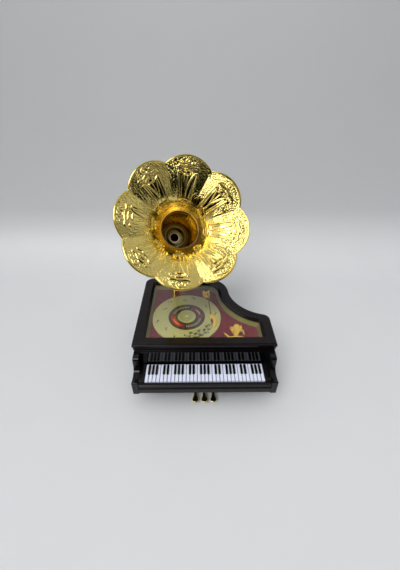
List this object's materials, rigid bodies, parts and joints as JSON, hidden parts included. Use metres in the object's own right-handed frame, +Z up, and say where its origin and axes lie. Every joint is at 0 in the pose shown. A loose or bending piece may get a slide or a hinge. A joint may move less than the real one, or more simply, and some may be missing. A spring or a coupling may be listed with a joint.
{
  "type": "piano music box",
  "caption": "Grand piano music box with a glazed lid over a spinning record, a keyboard, a wind-up movement and a flower-shaped gramophone horn on a swivelling neck.",
  "frame": {"origin": "middle of the whole object's footprint, on the ground under the felt feet", "axes": "+X to the piano's right as seen from the keyboard, +Y from the keyboard to the tail, +Z up"},
  "size_m": [0.1626, 0.1783, 0.222],
  "materials": {
    "black_lacquer": "black piano lacquer, polished",
    "brown_lacquer": "very dark brown lacquer, polished",
    "base_plastic": "moulded, fine grain",
    "plated_gold": "moulded plastic with a bright gold plating",
    "clear_window": "clear, glossy",
    "gold_liner": "dull olive gold",
    "red_velvet": "flocked velvet",
    "felt_pads": "felt",
    "ivory_keys": "moulded white",
    "ebony_keys": "moulded black",
    "cream_disc": "pale cream, printed with small dark notes",
    "dark_label": "printed film with fine rings",
    "brass_parts": "cut brass",
    "steel_parts": "ground steel",
    "cast_zinc": "die cast, lightly grained"
  },
  "bodies": {
    "case": {"case_rim": "black_lacquer", "bottom_board": "base_plastic", "left_arm": "black_lacquer", "right_arm": "black_lacquer", "lid_frame": "brown_lacquer", "window_pane": "clear_window", "window_liner": "gold_liner", "velvet_deck": "red_velvet", "foot_pads": "felt_pads", "key_bed": "black_lacquer", "key_slip": "black_lacquer", "left_key_block": "black_lacquer", "right_key_block": "black_lacquer", "white_keys": "ivory_keys", "black_keys": "ebony_keys", "fallboard": "black_lacquer", "pedal_lyre": "black_lacquer", "left_pedal": "plated_gold", "middle_pedal": "plated_gold", "right_pedal": "plated_gold", "front_left_leg": "black_lacquer", "front_right_leg": "black_lacquer", "rear_leg": "black_lacquer", "tonearm_base": "plated_gold", "tonearm_tube": "plated_gold", "tonearm_head": "plated_gold", "rose_ornament": "plated_gold", "movement_bedplate": "cast_zinc", "barrel_bridge": "steel_parts", "comb": "steel_parts", "governor_cock": "cast_zinc", "horn_socket": "plated_gold", "case_screws": "steel_parts", "leg_screws": "steel_parts", "movement_screws": "steel_parts", "socket_screws": "steel_parts", "bridge_screws": "steel_parts", "comb_screws": "steel_parts"},
    "turntable": {"turntable_disc": "cream_disc", "record_label": "dark_label", "turntable_spindle": "steel_parts", "spring_barrel": "brass_parts", "barrel_cap": "brass_parts", "mainspring": "steel_parts"},
    "music_cylinder": {"pin_cylinder": "brass_parts", "crown_pinion": "brass_parts", "cylinder_wheel": "brass_parts"},
    "train_wheel": {"train_arbor": "steel_parts", "worm_wheel": "brass_parts"},
    "governor": {"governor_worm": "steel_parts", "governor_fan": "brass_parts"},
    "winder": {"winding_arbor": "steel_parts", "ratchet_wheel": "steel_parts", "winding_key": "brass_parts"},
    "click_lever": {"click": "steel_parts"},
    "stop": {"stop_slider": "steel_parts", "stop_knob": "base_plastic"},
    "horn": {"horn_bell": "plated_gold", "horn_funnel": "plated_gold", "horn_neck": "plated_gold"}
  },
  "joints": [
    {"name": "turntable_spin", "type": "hinge", "parent": "case", "child": "turntable", "pos_m": [-0.01332, -0.01125, 0.057], "axis": [0, 0, 1], "continuous": true},
    {"name": "cylinder_spin", "type": "hinge", "parent": "case", "child": "music_cylinder", "pos_m": [0.01028, -0.01125, 0.03922], "axis": [1, 0, 0], "continuous": true},
    {"name": "train_spin", "type": "hinge", "parent": "case", "child": "train_wheel", "pos_m": [0.02108, -0.00161, 0.03922], "axis": [1, 0, 0], "continuous": true},
    {"name": "governor_spin", "type": "hinge", "parent": "case", "child": "governor", "pos_m": [0.02358, 0.00295, 0.03922], "axis": [0, 0, 1], "continuous": true},
    {"name": "winding_turn", "type": "hinge", "parent": "case", "child": "winder", "pos_m": [-0.01332, -0.01125, 0.025], "axis": [0, 0, 1], "continuous": true},
    {"name": "click_lift", "type": "hinge", "parent": "case", "child": "click_lever", "pos_m": [-0.02075, -0.01868, 0.032], "axis": [0, 0, 1], "range_deg": [-8, 0], "stiffness_Nm_per_rad": 0.0005},
    {"name": "stop_slide", "type": "slide", "parent": "case", "child": "stop", "axis": [-1, 0, 0], "range_m": [0, 0.004]},
    {"name": "horn_swivel", "type": "hinge", "parent": "case", "child": "horn", "pos_m": [-0.03272, 0.08116, 0.05], "axis": [0, 0, 1], "range_deg": [-60, 60]}
  ],
  "couplings": [
    {"joint": "cylinder_spin", "follows": "turntable_spin", "ratio": 4},
    {"joint": "train_spin", "follows": "turntable_spin", "ratio": -12},
    {"joint": "governor_spin", "follows": "turntable_spin", "ratio": 96}
  ]
}
